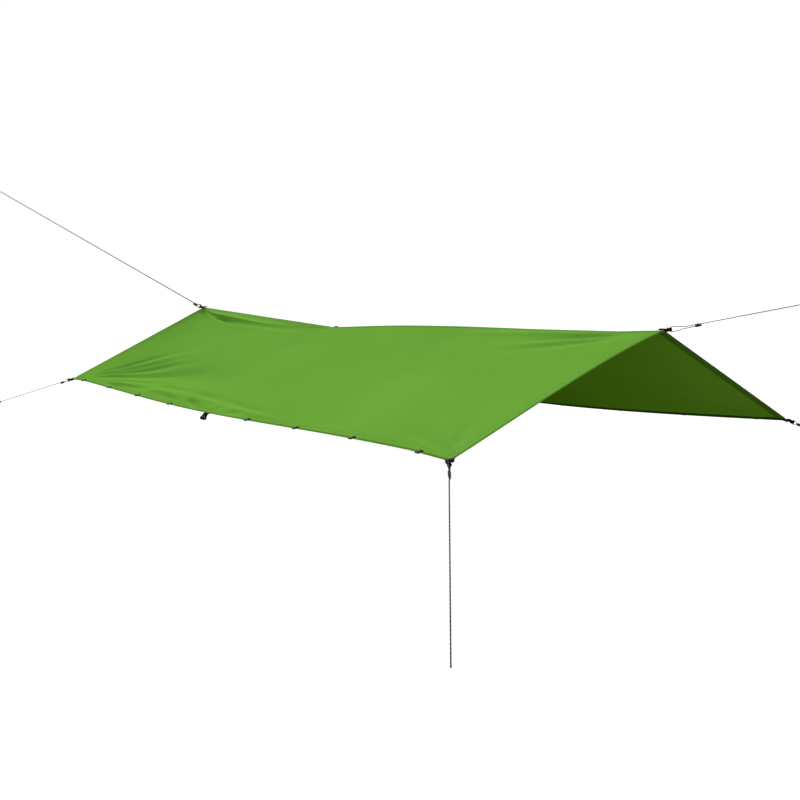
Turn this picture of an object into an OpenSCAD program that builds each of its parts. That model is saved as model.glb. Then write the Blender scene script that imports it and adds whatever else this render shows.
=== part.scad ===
// A rectangular tarp shelter of coated ripstop cloth, pitched low over a ridge.
// Two panels meet at a ridge seam, and webbing tie-outs, guylines and line tensioners hold them.
// The origin is the eye of the near ridge strap. +X runs along the ridge towards the near end,
// +Y from the ridge towards the back eave, and +Z up.

/* [Ridge] */
// Distance between the two ends of the ridge
ridge_length = 2400; // [2000:50:2600]
// How much higher the far end of the ridge is tied than the near end
far_ridge_rise = 8; // [0:1:40]
// How far the ridge hangs below a straight line at its lowest
ridge_slack = 53; // [0:1:80]
// Height of the gentle wave along the near part of the ridge
ridge_wave = 7; // [0:1:10]

/* [Front panel] */
// How far the near corner stands out from the ridge
front_near_out = 744; // [650:1:760]
// How far the near corner hangs below the ridge
front_near_drop = 261; // [200:1:320]
// How far the near corner is drawn in along the ridge
front_near_in = 38; // [0:1:60]
// How far the far corner stands out from the ridge
front_far_out = 616; // [600:1:740]
// How far the far corner hangs below the far end of the ridge
front_far_drop = 280; // [200:1:320]
// Height of the gentle wave along the front eave
front_eave_wave = 10; // [0:1:15]
// How far the front eave hangs below a straight line
front_eave_sag = 4.5; // [0:0.5:10]
// How far the near end of the panel is bowed in along the ridge
front_near_bow = 24; // [0:1:30]

/* [Back panel] */
// How far the near corner stands out from the ridge
back_near_out = 688; // [650:1:760]
// How far the near corner hangs below the ridge
back_near_drop = 304; // [200:1:320]
// How far the far corner stands out from the ridge
back_far_out = 741; // [650:1:760]
// How far the far corner, tied higher than the others, hangs below the far end of the ridge
back_far_drop = 114; // [80:1:200]
// How far the slack back eave hangs below a straight line at its lowest
back_eave_sag = 156; // [0:1:170]

/* [Cloth] */
// Thickness that stands for one layer of cloth
cloth = 1; // [0.8:0.1:1.2]
// Width of the folded hems
hem_width = 25; // [15:1:35]
// Width of the ridge seam on each side of the ridge
seam_width = 10; // [6:1:14]
// How far the middle of each panel hangs below the straight lines between ridge and eave
panel_sag = 10; // [0:1:20]

/* [Webbing tie-outs] */
// Width of the webbing where it is sewn to the cloth
webbing_width = 20; // [16:1:24]
// Width of the webbing of the two tie-outs halfway along the eaves
mid_webbing_width = 25; // [20:1:28]
// Height of the webbing at a corner's eye, where it stands on edge and the cord bunches it
eye_width = 9; // [8:1:10]
// Thickness of the webbing
webbing = 1.8; // [1.4:0.1:2]
// Radius of the eye that the cord passes through
eye_radius = 3.4; // [2.6:0.1:3.6]
// Distance of the eye from the edge of the cloth
strap_reach = 18; // [16:1:20]
// How far the webbing laps over the ridge seam, and under a corner or an eave
strap_lap = 12; // [8:1:16]
// How far its upper layer laps over a corner
corner_lap = 5; // [4:1:8]

/* [Edge loops] */
// Distance between neighbouring loops along an eave
loop_pitch = 270; // [240:5:280]
// Width of a loop's tape
loop_width = 13; // [8:1:20]
// Length of a loop that lies on the hem
loop_lap = 9; // [6:1:14]
// How far a loop stands out past the eave
loop_reach = 8; // [4:1:12]

/* [Guylines] */
// Diameter of the cord at the far ridge end
ridge_cord = 3.6; // [2.4:0.1:4]
// Diameter of the cord at the near front corner
heavy_cord = 3; // [2.4:0.1:3.2]
// Diameter of the other cords
light_cord = 2; // [1.4:0.1:2.2]
// Radius of the tied loop at a guyline's end
end_loop_radius = 9; // [6:1:12]

/* [Tensioners] */
// Length of a tensioner along its guyline
tensioner_length = 14; // [12:1:18]
// Thickness of the plastic around each bore
tensioner_wall = 1.3; // [1:0.1:1.6]
// How much wider a bore is than its cord, on each side
bore_clearance = 0.35; // [0.25:0.05:0.5]

/* [Hidden] */

cloth_green = [0.43, 0.66, 0.24];
hem_green = [0.36, 0.58, 0.19];
webbing_black = [0.06, 0.06, 0.06];
cord_black = [0.10, 0.10, 0.10];
plastic_black = [0.14, 0.14, 0.15];

// ---- corners of the pitched cloth ----
strap_rise = 4;  // the ridge eye stands this far above the cloth
near_ridge = [-strap_reach, 0, -strap_rise];
far_ridge = near_ridge + [-ridge_length, 0, far_ridge_rise];
front_near = near_ridge + [-front_near_in, -front_near_out, -front_near_drop];
front_far = far_ridge + [0, -front_far_out, -front_far_drop];
back_near = near_ridge + [0, back_near_out, -back_near_drop];
back_far = far_ridge + [0, back_far_out, -back_far_drop];

// ---- the cloth as one surface: t runs from the far end to the near end, and
// s from -1 at the front eave through 0 at the ridge to 1 at the back eave ----
half_width = 750;
wave_taper = 0.06;  // share of a wavy edge over which its wave dies out at a corner
ridge_wave_start = 0.38;  // where the wave along the ridge begins

function mix(a, b, t) = a + (b - a) * t;
function unit(v) = v / norm(v);
function slack_shape(t) = pow(t, 0.7) * pow(1 - t, 1.8) / 0.227;  // 1 at its highest
function taper(t) = min(1, min(t, 1 - t) / wave_taper);
function ridge_wave_at(t) =
    t < ridge_wave_start ? 0 : ridge_wave * sin(500 * (t - ridge_wave_start)) * taper(t);
function ridge_at(t) =
    mix(far_ridge, near_ridge, t) + [0, 0, ridge_wave_at(t) - ridge_slack * slack_shape(t)];
function front_eave_at(t) =
    mix(front_far, front_near, t)
    + [0, 0, (front_eave_wave * cos(360 * t + 18) - front_eave_sag) * taper(t)];
function back_eave_at(t) =
    mix(back_far, back_near, t) - [0, 0, back_eave_sag * (1 - exp(-t / 0.35)) * (1 - t) / 0.411];
function eave_at(t, side) = side < 0 ? front_eave_at(t) : back_eave_at(t);
function bow_at(t, s) =  // dies out within the nearest quarter of the front panel
    s < 0 ? front_near_bow * pow(-s, 0.7) * pow(1 + s, 1.5) / 0.252 * pow(t, 10) : 0;
function cloth_at(t, s) =
    mix(ridge_at(t), eave_at(t, s), abs(s))
    - [bow_at(t, s), 0, panel_sag * sin(180 * t) * sin(180 * abs(s))];

// ---- grid lines of the cloth: the hems and the seam lie between them ----
cells_along = 30;
cells_across = 9;  // from the ridge to each eave
hem_t = hem_width / ridge_length;
hem_s = hem_width / half_width;
seam_s = seam_width / half_width;
front_tilt = 21;  // mean slope of the front panel
back_tilt = 17;  // mean slope of the back panel

function line_t(i) =
    i == 0 ? 0 : i == cells_along ? 1 : mix(hem_t, 1 - hem_t, (i - 1) / (cells_along - 2));
function size_s(j) =
    j == 0 ? 0 : j == cells_across ? 1 : mix(seam_s, 1 - hem_s, (j - 1) / (cells_across - 2));
function line_s(j) = sign(j) * size_s(abs(j));
function up_at(j) =
    j == 0 ? [0, 0, 1]
    : j < 0 ? [0, -sin(front_tilt), cos(front_tilt)]
    : [0, sin(back_tilt), cos(back_tilt)];
function grid_point(i, j, layer) = cloth_at(line_t(i), line_s(j)) + up_at(j) * layer * cloth;

// One closed sheet over grid lines i0 to i1 and j0 to j1, between two layer heights
module cloth_sheet(i0, i1, j0, j1, low, high) {
    ni = i1 - i0;
    nj = j1 - j0;
    points = [
        for (layer = [low, high], i = [i0:i1], j = [j0:j1]) grid_point(i, j, layer)
    ];
    function at(k, i, j) = (k * (ni + 1) + i) * (nj + 1) + j;
    top = [
        for (i = [0:ni - 1], j = [0:nj - 1])
            each triangles(at(1, i, j), at(1, i, j + 1), at(1, i + 1, j + 1), at(1, i + 1, j))
    ];
    bottom = [
        for (i = [0:ni - 1], j = [0:nj - 1])
            each triangles_under(at(0, i, j), at(0, i, j + 1), at(0, i + 1, j + 1), at(0, i + 1, j))
    ];
    eaves = [
        for (i = [0:ni - 1]) each concat(
            triangles(at(0, i, 0), at(1, i, 0), at(1, i + 1, 0), at(0, i + 1, 0)),
            triangles_under(at(0, i, nj), at(1, i, nj), at(1, i + 1, nj), at(0, i + 1, nj)))
    ];
    ends = [
        for (j = [0:nj - 1]) each concat(
            triangles(at(0, 0, j + 1), at(1, 0, j + 1), at(1, 0, j), at(0, 0, j)),
            triangles_under(at(0, ni, j + 1), at(1, ni, j + 1), at(1, ni, j), at(0, ni, j)))
    ];
    polyhedron(points, concat(top, bottom, eaves, ends), convexity = 6);
}

function triangles(a, b, c, d) = [[a, b, c], [a, c, d]];
function triangles_under(a, b, c, d) = [[a, c, b], [a, d, c]];

// ---- tie-outs: where each strap leaves the cloth, and which way its guyline runs ----
mid_t = 0.505;  // the middle tie-out's place along the eave
corner_lift = 0;  // height of a corner's eye over the cloth, whose tip it takes between its layers
mid_lift = -4.1;  // the same halfway along an eave, where the webbing is sewn to the underside
ridge_lift = 4;  // the same over the ridge seam
// [corner, slope normal of the cloth there, direction of the guyline]
near_ridge_place = [near_ridge, [0, 0, 1], [83, 0, 17]];
far_ridge_place = [far_ridge, [0, 0, 1], [-122, -45, 57]];
front_near_place = [front_near, [0, -33, 94], [34, -32, -28]];
front_far_place = [front_far, [-5, -41, 91], [-35, -16, -11]];
back_near_place = [back_near, [-4, 40, 91], [45, 84, -31]];
back_far_place = [back_far, [46, 14, 88], [-50, 84, -20]];
front_mid_place = [front_eave_at(mid_t), [0, -31, 95], [0, -57, -82]];
back_mid_place = [back_eave_at(mid_t), [0, 37, 93], [0, 57, -82]];

function across_of(place) = unit(cross(place[1], place[2]));
function outward_of(place) = unit(cross(across_of(place), place[1]));
function normal_of(place) = unit(place[1]);
function eye_of(place, lift) =
    place[0] + outward_of(place) * strap_reach + normal_of(place) * lift;

// Moves children from a frame with x outward, y across and z up to the axes x, y and z at an origin
module in_frame(origin, x, y, z) {
    multmatrix([
        [x[0], y[0], z[0], origin[0]],
        [x[1], y[1], z[1], origin[1]],
        [x[2], y[2], z[2], origin[2]]
    ]) children();
}

// The axes of a guyline: x along it, y up, and z across it
function line_frame(place) =
    let (x = unit(place[2]), y = cross(x, across_of(place))) [x, y, cross(x, y)];

// The neck of a tie-out, from its flat layers to the middle of its upright eye
module neck(place, eye, lower, upper) {
    axes = line_frame(place);
    half_root = webbing_width / 2;
    half_tip = 0.9 * (eye_radius + webbing);
    function root(y, z) =
        eye + outward_of(place) * (2 - strap_reach) + across_of(place) * y + normal_of(place) * z;
    function tip(y, z) = eye + across_of(place) * y + axes[1] * z;
    polyhedron([
        root(-half_root, lower), root(half_root, lower), root(half_root, upper), root(-half_root, upper),
        tip(-half_tip, -eye_width / 2), tip(half_tip, -eye_width / 2),
        tip(half_tip, eye_width / 2), tip(-half_tip, eye_width / 2)
    ], concat(
        triangles(0, 1, 2, 3), triangles(4, 7, 6, 5), triangles(1, 0, 4, 5),
        triangles(3, 2, 6, 7), triangles(5, 6, 2, 1), triangles(0, 3, 7, 4)
    ), convexity = 2);
}

// A webbing tie-out. Its two layers, upper and lower, lie flat on the cloth at these heights.
// Past the cloth they turn on edge and loop round the eye, which stands square to the guyline.
module strap(place, lift, upper, upper_lap, lower) {
    eye = eye_of(place, lift);
    axes = line_frame(place);
    color(webbing_black) difference() {
        union() {
            in_frame(eye, outward_of(place), across_of(place), normal_of(place)) {
                translate([-strap_reach - upper_lap, -webbing_width / 2, upper])
                    cube([upper_lap + 3, webbing_width, webbing]);
                translate([-strap_reach - strap_lap, -webbing_width / 2, lower])
                    cube([strap_lap + 3, webbing_width, webbing]);
            }
            neck(place, eye, lower, upper + webbing);
            in_frame(eye, axes[0], -axes[2], axes[1])
                cylinder(h = eye_width, r = eye_radius + webbing, center = true, $fn = 48);
        }
        in_frame(eye, axes[0], -axes[2], axes[1])
            cylinder(h = 4 * eye_width, r = eye_radius, center = true, $fn = 48);
    }
}

module ridge_strap(place) strap(place, ridge_lift, 0, strap_lap, -webbing);
module corner_strap(place) strap(place, corner_lift, 1.7, corner_lap, -4);

// A wide webbing loop sewn under an eave, its eye lying along the eave. It carries no guyline,
// so past the hem it bends and hangs.
mid_bend = 2;  // distance from the edge of the cloth to the bend
function mid_hang() = strap_reach - mid_bend;
function bend_of(place) = place[0] + outward_of(place) * mid_bend + normal_of(place) * mid_lift;

module mid_strap(place) {
    hanging = unit(place[2]);
    color(webbing_black) {
        in_frame(bend_of(place), outward_of(place), across_of(place), normal_of(place))
            translate([-mid_bend - strap_lap, -mid_webbing_width / 2, -webbing])
                cube([mid_bend + strap_lap, mid_webbing_width, 2 * webbing]);
        in_frame(bend_of(place), hanging, across_of(place), cross(hanging, across_of(place)))
            rotate([90, 0, 0]) linear_extrude(mid_webbing_width, center = true) difference() {
                union() {
                    circle(r = webbing, $fn = 32);
                    translate([0, -webbing]) square([mid_hang(), 2 * webbing]);
                    translate([mid_hang(), 0]) circle(r = eye_radius + webbing, $fn = 48);
                }
                translate([mid_hang(), 0]) circle(r = eye_radius, $fn = 48);
            }
    }
}

// ---- small tape loops along the eaves ----
loop_numbers = [-4, -3, -2, -1, 1, 2, 3, 4];
tape = 1;  // thickness of the tape
tape_gap = 1;  // height of the slit in a loop
loop_lift = 1.2;  // the tape's underside over the middle of the cloth

module tape_loop() {
    difference() {
        translate([-loop_lap, -loop_width / 2, loop_lift])
            cube([loop_lap + loop_reach, loop_width, 2 * tape + tape_gap]);
        translate([-tape, -loop_width, loop_lift + tape])
            cube([loop_reach, 2 * loop_width, tape_gap]);
    }
}

module edge_loops(side) {
    color(webbing_black)
        for (number = loop_numbers) {
            t = mid_t + number * loop_pitch / ridge_length;
            along = unit(eave_at(t + 0.01, side) - eave_at(t - 0.01, side));
            slope = unit(eave_at(t, side) - ridge_at(t));
            up = unit(cross(slope, along) * -side);
            in_frame(eave_at(t, side), cross(along, up) * -side, along * -side, up) tape_loop();
        }
}

// ---- guylines: routes in millimetres as [along the line, up from it], from the eye outwards ----
corner_turn = [
    [0, 0], [0, 3], [0.5, 5.2], [2, 7.2], [5, 8.2], [9, 7.2],
    [13, 4.2], [16.5, 1.5], [19.5, 0.3], [22, 0]
];
function corner_turn_back(diameter) =
    let (gap = return_gap(diameter)) [
        [0, 0], [0, -3], [0.5, -5.2], [2, -7.2], [5, -8.4], [9, -8.2],
        [13, -gap - 2], [17, -gap - 0.6], [22, -gap]
    ];
short_turn = [
    [0, 0], [0, 2.6], [0.4, 4.5], [1.6, 6], [4, 6.6], [7, 5.9], [10, 3.8], [13, 1.4], [15, 0.4], [17, 0]
];
short_turn_back = [
    [0, 0], [0, -2.6], [0.4, -4.5], [1.6, -6.1], [4, -6.9], [7, -6.7], [10, -5.4], [13, -4.4], [17, -4]
];
long_turn = [
    [0, 0], [0, 2.6], [0.4, 4.5], [1.6, 6], [4, 6.6], [9, 6.2],
    [20, 4.4], [34, 2.2], [48, 0.6], [60, 0]
];
long_turn_back = [
    [0, 0], [0, -2.6], [0.4, -4.5], [1.6, -6.1], [4, -6.9], [9, -6.9],
    [20, -6.1], [34, -5], [48, -4.2], [60, -4]
];
near_ridge_far_part = [[100, 0], [150, 0], [200, 0], [250, 0], [300, 0], [365, 0]];
far_ridge_far_part = [
    [60, 0], [120, 0], [240, 0], [400, 0], [600, 0], [800, 0], [1000, 0], [1200, 0], [1410, 0]
];
front_near_far_part = [
    [50, 0], [100, 0], [160, 0], [220, 0], [280, 0], [340, 0], [400, 0], [460, 0], [529, 0]
];
front_far_far_part = [[50, 0], [80, 0], [120, 0], [160, 0], [200, 0], [250, 0], [300, 0], [400, 0]];
back_near_far_part = [[30, 0], [40, 0], [50, 0], [60, 0], [70, 0], [80, 0], [90, 0]];

// Distance between the two strands of a cord at its tensioner
function return_gap(diameter) = diameter + 2 * bore_clearance + tensioner_wall;

// A place on a guyline, in the frame of its eye
function on_line(place, lift, q) =
    let (axes = line_frame(place)) eye_of(place, lift) + axes[0] * q[0] + axes[1] * q[1];

function tangent(route, k) =
    unit(route[min(k + 1, len(route) - 1)] - route[max(k - 1, 0)]);

// A round cord swept along a route that stays in one plane, whose normal is flat_normal
module cord_tube(route, diameter, flat_normal) {
    sides = 8;
    last = len(route) - 1;
    points = [
        for (k = [0:last], turn = [0:sides - 1])
            let (side = cross(flat_normal, tangent(route, k)), a = 360 * (turn + 0.5) / sides)
                route[k] + (side * cos(a) + flat_normal * sin(a)) * diameter / 2
    ];
    walls = [
        for (k = [0:last - 1], turn = [0:sides - 1])
            let (next = (turn + 1) % sides)
                each triangles(k * sides + turn, (k + 1) * sides + turn,
                    (k + 1) * sides + next, k * sides + next)
    ];
    near_cap = [for (turn = [0:sides - 1]) turn];
    far_cap = [for (turn = [sides - 1:-1:0]) last * sides + turn];
    polyhedron(points, concat(walls, [near_cap, far_cap]), convexity = 4);
}

module cord(place, lift, turns, diameter) {
    color(cord_black)
        cord_tube([for (q = turns) on_line(place, lift, q)], diameter, line_frame(place)[2]);
}

// Moves children to a guyline's frame: x along the line from its eye, y up, z across
module on_guyline(place, lift) {
    axes = line_frame(place);
    in_frame(eye_of(place, lift), axes[0], axes[1], axes[2]) children();
}

// The strand that turns back to the tensioner, passes through it and ends in a stopper knot
module return_strand(place, lift, turns, diameter, start) {
    across = -return_gap(diameter);
    tail = start + tensioner_length + 1;
    cord(place, lift, concat(turns, [[start + 6, across], [tail, across]]), diameter);
    color(cord_black)
        on_guyline(place, lift)
            translate([tail, across, 0]) rotate([0, 90, 0])
                cylinder(h = 1.8 * diameter, r = 0.7 * diameter + 0.6, $fn = 24);
}

// A tensioner: a rounded bar with a bore for each strand and two finger grooves on each edge
module tensioner(place, lift, diameter, start) {
    gap = return_gap(diameter);
    bore = diameter / 2 + bore_clearance;
    end_radius = bore + tensioner_wall;
    half_width = gap / 2 + end_radius;
    color(plastic_black)
        on_guyline(place, lift)
            translate([start, -gap / 2, 0]) rotate([0, 90, 0]) difference() {
                union() {
                    for (side = [-1, 1])
                        translate([0, side * gap / 2, 0])
                            cylinder(h = tensioner_length, r = end_radius, $fn = 48);
                    translate([-end_radius, -gap / 2, 0])
                        cube([2 * end_radius, gap, tensioner_length]);
                }
                for (side = [-1, 1])
                    translate([0, side * gap / 2, -1])
                        cylinder(h = tensioner_length + 2, r = bore, $fn = 32);
                for (side = [-1, 1], step = [-1, 1])
                    translate([0, side * (half_width + 0.6), tensioner_length / 2 + step * 2.6])
                        rotate([0, 90, 0])
                            cylinder(h = 3 * end_radius, r = 1.2, center = true, $fn = 24);
            }
}

// The tied loop at a guyline's end: a barrel knot, then a round bight of the cord
module end_loop(place, lift, start, diameter) {
    knot_length = 4 * diameter;
    color(cord_black)
        on_guyline(place, lift) translate([start, 0, 0]) {
            rotate([0, 90, 0]) cylinder(h = knot_length, r = 1.2 * diameter, $fn = 32);
            translate([knot_length + end_loop_radius - diameter / 2, 0, 0])
                rotate_extrude($fn = 48) translate([end_loop_radius, 0]) circle(d = diameter, $fn = 16);
        }
}

// The sealed tip of a guyline that runs down to the ground
module sealed_tip(place, lift, start, diameter) {
    color(cord_black)
        on_guyline(place, lift) translate([start, 0, 0])
            rotate([0, 90, 0]) cylinder(h = tip_length, r = 0.6 * diameter, $fn = 32);
}

function end_of(route) = route[len(route) - 1][0];

// Distance of each tensioner from its eye
corner_start = 22;
back_near_start = 17;
front_far_start = 32;
near_ridge_start = 76;
tip_length = 4;

// ---- cloth ----
module front_panel() color(cloth_green) cloth_sheet(0, cells_along, -cells_across, 0, -0.5, 0.5);
module back_panel() color(cloth_green) cloth_sheet(0, cells_along, 0, cells_across, -0.5, 0.5);
module ridge_seam() color(hem_green) cloth_sheet(0, cells_along, -1, 1, 0.5, 1.5);
module front_hem()
    color(hem_green) cloth_sheet(0, cells_along, -cells_across, 1 - cells_across, -1.5, -0.5);
module back_hem()
    color(hem_green) cloth_sheet(0, cells_along, cells_across - 1, cells_across, -1.5, -0.5);
module near_hem_front()
    color(hem_green) cloth_sheet(cells_along - 1, cells_along, 1 - cells_across, 0, -1.5, -0.5);
module near_hem_back()
    color(hem_green) cloth_sheet(cells_along - 1, cells_along, 0, cells_across - 1, -1.5, -0.5);
module far_hem_front() color(hem_green) cloth_sheet(0, 1, 1 - cells_across, 0, -1.5, -0.5);
module far_hem_back() color(hem_green) cloth_sheet(0, 1, 0, cells_across - 1, -1.5, -0.5);

// ---- webbing ----
module near_ridge_strap() ridge_strap(near_ridge_place);
module far_ridge_strap() ridge_strap(far_ridge_place);
module front_near_strap() corner_strap(front_near_place);
module front_far_strap() corner_strap(front_far_place);
module back_near_strap() corner_strap(back_near_place);
module back_far_strap() corner_strap(back_far_place);
module front_mid_strap() mid_strap(front_mid_place);
module back_mid_strap() mid_strap(back_mid_place);
module front_edge_loops() edge_loops(-1);
module back_edge_loops() edge_loops(1);

// ---- near ridge guyline ----
near_ridge_route = concat(long_turn, near_ridge_far_part);
module near_ridge_line() cord(near_ridge_place, ridge_lift, near_ridge_route, light_cord);
module near_ridge_return()
    return_strand(near_ridge_place, ridge_lift, long_turn_back, light_cord, near_ridge_start);
module near_ridge_tensioner() tensioner(near_ridge_place, ridge_lift, light_cord, near_ridge_start);
module near_ridge_end() end_loop(near_ridge_place, ridge_lift, end_of(near_ridge_route), light_cord);

// ---- far ridge guyline ----
far_ridge_route = concat(corner_turn, far_ridge_far_part);
module far_ridge_line() cord(far_ridge_place, ridge_lift, far_ridge_route, ridge_cord);
module far_ridge_return()
    return_strand(far_ridge_place, ridge_lift, corner_turn_back(ridge_cord), ridge_cord, corner_start);
module far_ridge_tensioner() tensioner(far_ridge_place, ridge_lift, ridge_cord, corner_start);
module far_ridge_end() end_loop(far_ridge_place, ridge_lift, end_of(far_ridge_route), ridge_cord);

// ---- near front guyline ----
front_near_route = concat(corner_turn, front_near_far_part);
module front_near_line() cord(front_near_place, corner_lift, front_near_route, heavy_cord);
module front_near_return()
    return_strand(front_near_place, corner_lift, corner_turn_back(heavy_cord), heavy_cord, corner_start);
module front_near_tensioner() tensioner(front_near_place, corner_lift, heavy_cord, corner_start);
module front_near_end() sealed_tip(front_near_place, corner_lift, end_of(front_near_route), heavy_cord);

// ---- far front guyline ----
front_far_route = concat(short_turn, front_far_far_part);
module front_far_line() cord(front_far_place, corner_lift, front_far_route, light_cord);
module front_far_return()
    return_strand(front_far_place, corner_lift, short_turn_back, light_cord, front_far_start);
module front_far_tensioner() tensioner(front_far_place, corner_lift, light_cord, front_far_start);
module front_far_end() end_loop(front_far_place, corner_lift, end_of(front_far_route), light_cord);

// ---- near back guyline ----
back_near_route = concat(short_turn, back_near_far_part);
module back_near_line() cord(back_near_place, corner_lift, back_near_route, light_cord);
module back_near_return()
    return_strand(back_near_place, corner_lift, short_turn_back, light_cord, back_near_start);
module back_near_tensioner() tensioner(back_near_place, corner_lift, light_cord, back_near_start);
module back_near_end() end_loop(back_near_place, corner_lift, end_of(back_near_route), light_cord);

front_panel();
back_panel();
ridge_seam();
front_hem();
back_hem();
near_hem_front();
near_hem_back();
far_hem_front();
far_hem_back();
near_ridge_strap();
far_ridge_strap();
front_near_strap();
front_far_strap();
back_near_strap();
back_far_strap();
front_mid_strap();
back_mid_strap();
front_edge_loops();
back_edge_loops();
near_ridge_line();
near_ridge_return();
near_ridge_tensioner();
near_ridge_end();
far_ridge_line();
far_ridge_return();
far_ridge_tensioner();
far_ridge_end();
front_near_line();
front_near_return();
front_near_tensioner();
front_near_end();
front_far_line();
front_far_return();
front_far_tensioner();
front_far_end();
back_near_line();
back_near_return();
back_near_tensioner();
back_near_end();
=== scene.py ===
"""Looks of the tarp shelter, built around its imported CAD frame.

Everything is in metres in the row frame: the origin is the eye of the near ridge strap,
+X runs along the ridge towards the near end, +Y towards the back eave and +Z up.
A place on the cloth is (t, s): t runs from the far end, 0, to the near end, 1, and s from
-1 at the front eave through 0 at the ridge to 1 at the back eave.
"""

import math

import bpy
import numpy as np
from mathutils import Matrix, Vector
from mathutils.bvhtree import BVHTree


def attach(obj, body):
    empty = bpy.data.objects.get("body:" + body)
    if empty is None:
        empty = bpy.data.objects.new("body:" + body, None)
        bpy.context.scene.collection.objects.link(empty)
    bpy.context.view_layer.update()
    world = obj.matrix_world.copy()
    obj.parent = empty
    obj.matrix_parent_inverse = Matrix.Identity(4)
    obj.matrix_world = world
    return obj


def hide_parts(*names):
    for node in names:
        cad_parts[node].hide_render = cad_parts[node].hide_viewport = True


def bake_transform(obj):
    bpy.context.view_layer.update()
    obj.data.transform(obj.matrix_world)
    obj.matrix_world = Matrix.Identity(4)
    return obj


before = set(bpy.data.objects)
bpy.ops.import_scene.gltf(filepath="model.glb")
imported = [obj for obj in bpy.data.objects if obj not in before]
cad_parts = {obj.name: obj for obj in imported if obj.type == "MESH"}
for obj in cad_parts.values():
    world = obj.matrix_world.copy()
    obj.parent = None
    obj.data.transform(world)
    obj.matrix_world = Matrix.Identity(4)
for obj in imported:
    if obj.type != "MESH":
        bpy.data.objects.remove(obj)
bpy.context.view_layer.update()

MM = 0.001

# ---------------------------------------------------------------- camera
CAMERA_PLACE = Vector((1.462, -2.208, 0.132))
CAMERA_YAW = math.radians(-49)  # from +Y towards +X
CAMERA_PITCH = math.radians(-7.1)
CAMERA_LENS, SENSOR_WIDTH = 43.8, 36  # millimetres
NEAREST, FARTHEST = 0.05, 60

camera_data = bpy.data.cameras.new("camera")
camera_data.lens, camera_data.sensor_width = CAMERA_LENS, SENSOR_WIDTH
camera_data.clip_start, camera_data.clip_end = NEAREST, FARTHEST
camera = bpy.data.objects.new("camera", camera_data)
camera.location = CAMERA_PLACE
camera.rotation_euler = (math.pi / 2 + CAMERA_PITCH, 0, -CAMERA_YAW)
bpy.context.scene.collection.objects.link(camera)
bpy.context.scene.camera = camera


# ---------------------------------------------------------------- vectors and meshes
def unit(v):
    v = np.asarray(v, float)
    return v / np.linalg.norm(v, axis=-1, keepdims=True)


def mix(a, b, t):
    return a + (b - a) * t


def smooth(x):
    """0 below 0, 1 above 1, and smooth between."""
    x = np.clip(x, 0, 1)
    return x * x * (3 - 2 * x)


def column(x):
    """Numbers with a last axis added, to multiply vectors by."""
    return np.asarray(x, float)[..., None]


def distances(line):
    """How far along a line of points each of them lies."""
    return np.concatenate([[0], np.cumsum(np.linalg.norm(np.diff(line, axis=0), axis=1))])


def tube_rings(line, radius, hint, sides):
    """Rings of points round a line. hint stays across it, and radius is one number or an
    array (ring, corner)."""
    tangent = unit(np.gradient(line, axis=0))
    side = unit(np.cross(hint, tangent))
    angle = 2 * math.pi * np.arange(sides) / sides
    right = side[:, None] * column(radius * np.cos(angle))
    up = np.cross(tangent, side)[:, None] * column(radius * np.sin(angle))
    return line[:, None] + right + up


def belongs(piece, body, slot, *nodes):
    """A piece rides on a body and stands for these CAD nodes, which it hides. slot is not used.
    """
    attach(piece, body)
    if nodes:
        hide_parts(*nodes)
    return piece


class Parts:
    """Gathers closed shapes into one mesh, with a UV pair for each corner."""

    def __init__(self):
        self.points, self.faces, self.pairs, self.slots = [], [], [], []
        self.count = 0

    def add(self, points, faces, pairs, slots=0):
        """faces index points, pairs holds one UV pair for each corner of each face, and
        slots is one slot or one for each face."""
        self.points.extend(np.asarray(points, float))
        self.faces.extend(tuple(int(i) + self.count for i in f) for f in faces)
        self.pairs.extend(pairs)
        self.slots.extend(np.broadcast_to(slots, len(faces)))
        self.count += len(points)

    def build(self, name, materials, uv_name):
        mesh = bpy.data.meshes.new(name)
        mesh.from_pydata([tuple(p) for p in self.points], [], self.faces)
        for material in materials:
            mesh.materials.append(material)
        layer = mesh.uv_layers.new(name=uv_name)
        layer.data.foreach_set("uv", np.asarray(self.pairs, np.float32).ravel())
        polygons = mesh.polygons
        polygons.foreach_set("material_index", np.asarray(self.slots, np.int32))
        polygons.foreach_set("use_smooth", np.ones(len(polygons), bool))
        mesh.update()
        made = bpy.data.objects.new(name, mesh)
        bpy.context.scene.collection.objects.link(made)
        return made


def swept(parts, rings, ring_uv, slot=0):
    """A closed tube through rings of equal size: an array (ring, corner, 3), with flat ends.

    ring_uv gives (u of each corner plus one, v of each ring).
    """
    count, sides = rings.shape[:2]
    us, vs = ring_uv
    faces, pairs = [], []
    for k in range(count - 1):
        low, high = k * sides, (k + 1) * sides
        for c in range(sides):
            d = (c + 1) % sides
            faces.append((low + c, high + c, high + d, low + d))
            pairs += [(us[c], vs[k]), (us[c], vs[k + 1])]
            pairs += [(us[c + 1], vs[k + 1]), (us[c + 1], vs[k])]
    last = (count - 1) * sides
    faces += [tuple(range(sides)), tuple(range(last + sides - 1, last - 1, -1))]
    pairs += [(us[c], vs[0]) for c in range(sides)]
    pairs += [(us[c], vs[-1]) for c in range(sides - 1, -1, -1)]
    parts.add(rings.reshape(-1, 3), faces, pairs, slot)


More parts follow.
